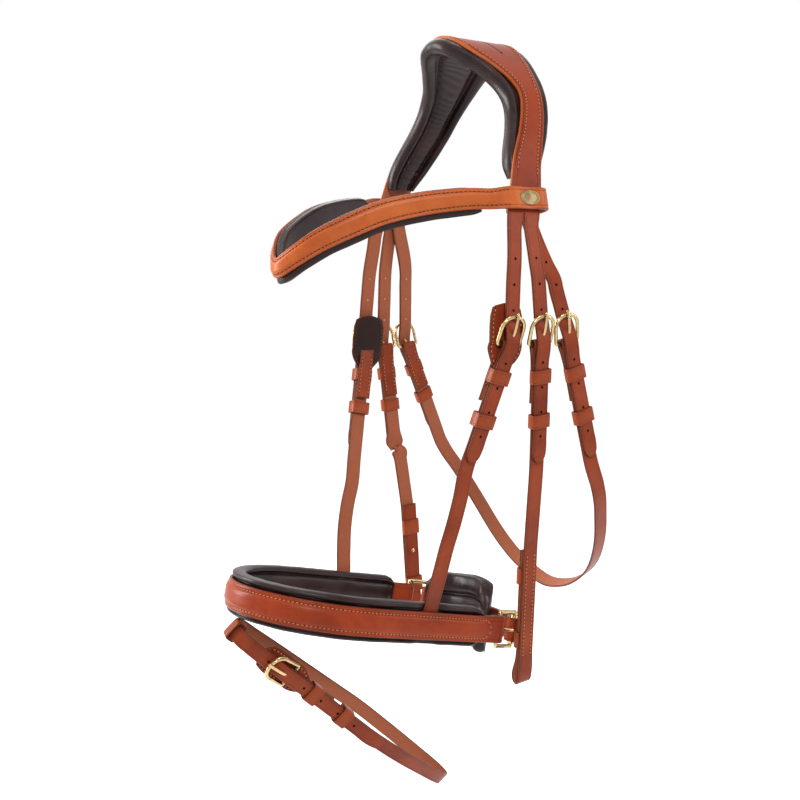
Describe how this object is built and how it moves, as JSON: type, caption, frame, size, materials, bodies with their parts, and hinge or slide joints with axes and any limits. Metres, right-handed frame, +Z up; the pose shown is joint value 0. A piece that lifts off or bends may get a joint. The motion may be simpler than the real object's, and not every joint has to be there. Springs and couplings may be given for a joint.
{
  "type": "horse bridle",
  "caption": "English horse bridle of tan leather with a padded shaped crown, browband, padded crank noseband, hook stud cheekpieces, throatlatch, flash strap and brass buckles.",
  "frame": {"origin": "on the underside of the crown pad at the middle of the poll", "axes": "+Z up, -Y the way the horse faces, +X to the horse's left, its near side"},
  "size_m": [0.2364, 0.3371, 0.6421],
  "materials": {
    "tan_leather": "satin",
    "orange_leather": "satin",
    "dark_padding": "satin",
    "brass": "polished"
  },
  "bodies": {
    "bridle": {"badge_near": "brass", "bit_keeper_far": "orange_leather", "bit_keeper_near": "orange_leather", "browband": "orange_leather", "browband_pad": "dark_padding", "cheek_far_buckle": "brass", "cheek_far_keeper": "tan_leather", "cheek_near_buckle": "brass", "cheek_near_keeper": "tan_leather", "cheekpiece_far": "tan_leather", "cheekpiece_near": "tan_leather", "chin_loop": "tan_leather", "chin_pad": "dark_padding", "crank_buckle": "brass", "crank_ring": "brass", "crank_strap": "tan_leather", "crown_pad": "dark_padding", "hanger_far": "tan_leather", "hanger_far_buckle": "brass", "hanger_far_keeper": "tan_leather", "hanger_guard_far": "dark_padding", "hanger_guard_near": "dark_padding", "hanger_near": "tan_leather", "hanger_near_buckle": "brass", "hanger_near_keeper": "tan_leather", "headpiece": "tan_leather", "hook_stud_far": "brass", "hook_stud_near": "brass", "noseband": "tan_leather", "noseband_pad": "dark_padding", "throat_billet_far": "tan_leather", "throat_billet_near": "tan_leather", "throat_far_buckle": "brass", "throat_far_keeper": "tan_leather", "throat_near_buckle": "brass", "throat_near_keeper": "tan_leather", "throatlatch": "tan_leather"},
    "flash": {"flash_strap": "tan_leather", "flash_loop": "tan_leather", "flash_guard": "dark_padding", "flash_buckle": "brass", "flash_keeper": "tan_leather"},
    "hanger_near_tongue": {"hanger_near_tongue": "brass"},
    "hanger_near_runner": {"hanger_near_runner": "tan_leather"},
    "hanger_far_tongue": {"hanger_far_tongue": "brass"},
    "hanger_far_runner": {"hanger_far_runner": "tan_leather"},
    "cheek_near_tongue": {"cheek_near_tongue": "brass"},
    "cheek_near_runner": {"cheek_near_runner": "tan_leather"},
    "cheek_far_tongue": {"cheek_far_tongue": "brass"},
    "cheek_far_runner": {"cheek_far_runner": "tan_leather"},
    "throat_near_tongue": {"throat_near_tongue": "brass"},
    "throat_near_runner": {"throat_near_runner": "tan_leather"},
    "throat_far_tongue": {"throat_far_tongue": "brass"},
    "throat_far_runner": {"throat_far_runner": "tan_leather"},
    "bit_runner_near": {"bit_runner_near": "orange_leather"},
    "bit_runner_far": {"bit_runner_far": "orange_leather"},
    "flash_tongue": {"flash_tongue": "brass"},
    "flash_runner": {"flash_runner": "tan_leather"},
    "crank_tongue": {"crank_tongue": "brass"},
    "crank_roller": {"crank_roller": "brass"}
  },
  "joints": [
    {"name": "flash_swing", "type": "hinge", "parent": "bridle", "child": "flash", "pos_m": [0.00417, -0.221, -0.43216], "axis": [1, 0, 0], "range_deg": [-30, 12]},
    {"name": "hanger_near_tongue_lift", "type": "hinge", "parent": "bridle", "child": "hanger_near_tongue", "pos_m": [0.10046, -0.04145, -0.22579], "axis": [-0.0152, 0.9956, -0.0929], "range_deg": [0, 4]},
    {"name": "hanger_near_runner_slide", "type": "slide", "parent": "bridle", "child": "hanger_near_runner", "axis": [0.1927, 0.2378, 0.952], "range_m": [-0.005, 0.006]},
    {"name": "hanger_far_tongue_lift", "type": "hinge", "parent": "bridle", "child": "hanger_far_tongue", "pos_m": [-0.10046, -0.04145, -0.24529], "axis": [-0.0124, -0.9978, 0.065], "range_deg": [0, 4]},
    {"name": "hanger_far_runner_slide", "type": "slide", "parent": "bridle", "child": "hanger_far_runner", "axis": [-0.1927, 0.2378, 0.952], "range_m": [-0.005, 0.003]},
    {"name": "cheek_near_tongue_lift", "type": "hinge", "parent": "bridle", "child": "cheek_near_tongue", "pos_m": [0.1064, -0.01576, -0.22579], "axis": [-0.0021, 0.9998, 0.0193], "range_deg": [0, 4]},
    {"name": "cheek_near_runner_slide", "type": "slide", "parent": "bridle", "child": "cheek_near_runner", "axis": [0.0867, -0.0688, 0.9939], "range_m": [-0.005, 0.006]},
    {"name": "cheek_far_tongue_lift", "type": "hinge", "parent": "bridle", "child": "cheek_far_tongue", "pos_m": [-0.1064, -0.01576, -0.24529], "axis": [-0.001, -0.9999, -0.0136], "range_deg": [0, 4]},
    {"name": "cheek_far_runner_slide", "type": "slide", "parent": "bridle", "child": "cheek_far_runner", "axis": [-0.0867, -0.0688, 0.9939], "range_m": [-0.005, 0.003]},
    {"name": "throat_near_tongue_lift", "type": "hinge", "parent": "bridle", "child": "throat_near_tongue", "pos_m": [0.10808, 0.01088, -0.22579], "axis": [0.051, 0.9843, 0.1688], "range_deg": [0, 4]},
    {"name": "throat_near_runner_slide", "type": "slide", "parent": "bridle", "child": "throat_near_runner", "axis": [-0.0599, -0.2328, 0.9707], "range_m": [-0.005, 0.006]},
    {"name": "throat_far_tongue_lift", "type": "hinge", "parent": "bridle", "child": "throat_far_tongue", "pos_m": [-0.10808, 0.01088, -0.24529], "axis": [0.0451, -0.992, -0.118], "range_deg": [0, 4]},
    {"name": "throat_far_runner_slide", "type": "slide", "parent": "bridle", "child": "throat_far_runner", "axis": [0.056, -0.4158, 0.9077], "range_m": [-0.005, 0.003]},
    {"name": "bit_runner_near_slide", "type": "slide", "parent": "bridle", "child": "bit_runner_near", "axis": [0.0675, -0.0293, 0.9973], "range_m": [-0.006, 0.006]},
    {"name": "bit_runner_far_slide", "type": "slide", "parent": "bridle", "child": "bit_runner_far", "axis": [-0.0675, -0.0293, 0.9973], "range_m": [-0.006, 0.006]},
    {"name": "flash_tongue_lift", "type": "hinge", "parent": "flash", "child": "flash_tongue", "pos_m": [0.0161, -0.18419, -0.48246], "axis": [0.2588, 0.6588, 0.7064], "range_deg": [0, 4]},
    {"name": "flash_runner_slide", "type": "slide", "parent": "flash", "child": "flash_runner", "axis": [-0.1037, -0.7082, 0.6984], "range_m": [-0.005, 0.006]},
    {"name": "crank_tongue_lift", "type": "hinge", "parent": "bridle", "child": "crank_tongue", "pos_m": [0.06429, -0.01624, -0.46636], "axis": [0.0802, -0.2647, -0.961], "range_deg": [0, 4]},
    {"name": "crank_roller_spin", "type": "hinge", "parent": "bridle", "child": "crank_roller", "pos_m": [0.06117, 0.00225, -0.47172], "axis": [0.0802, -0.2647, -0.961], "continuous": true}
  ]
}
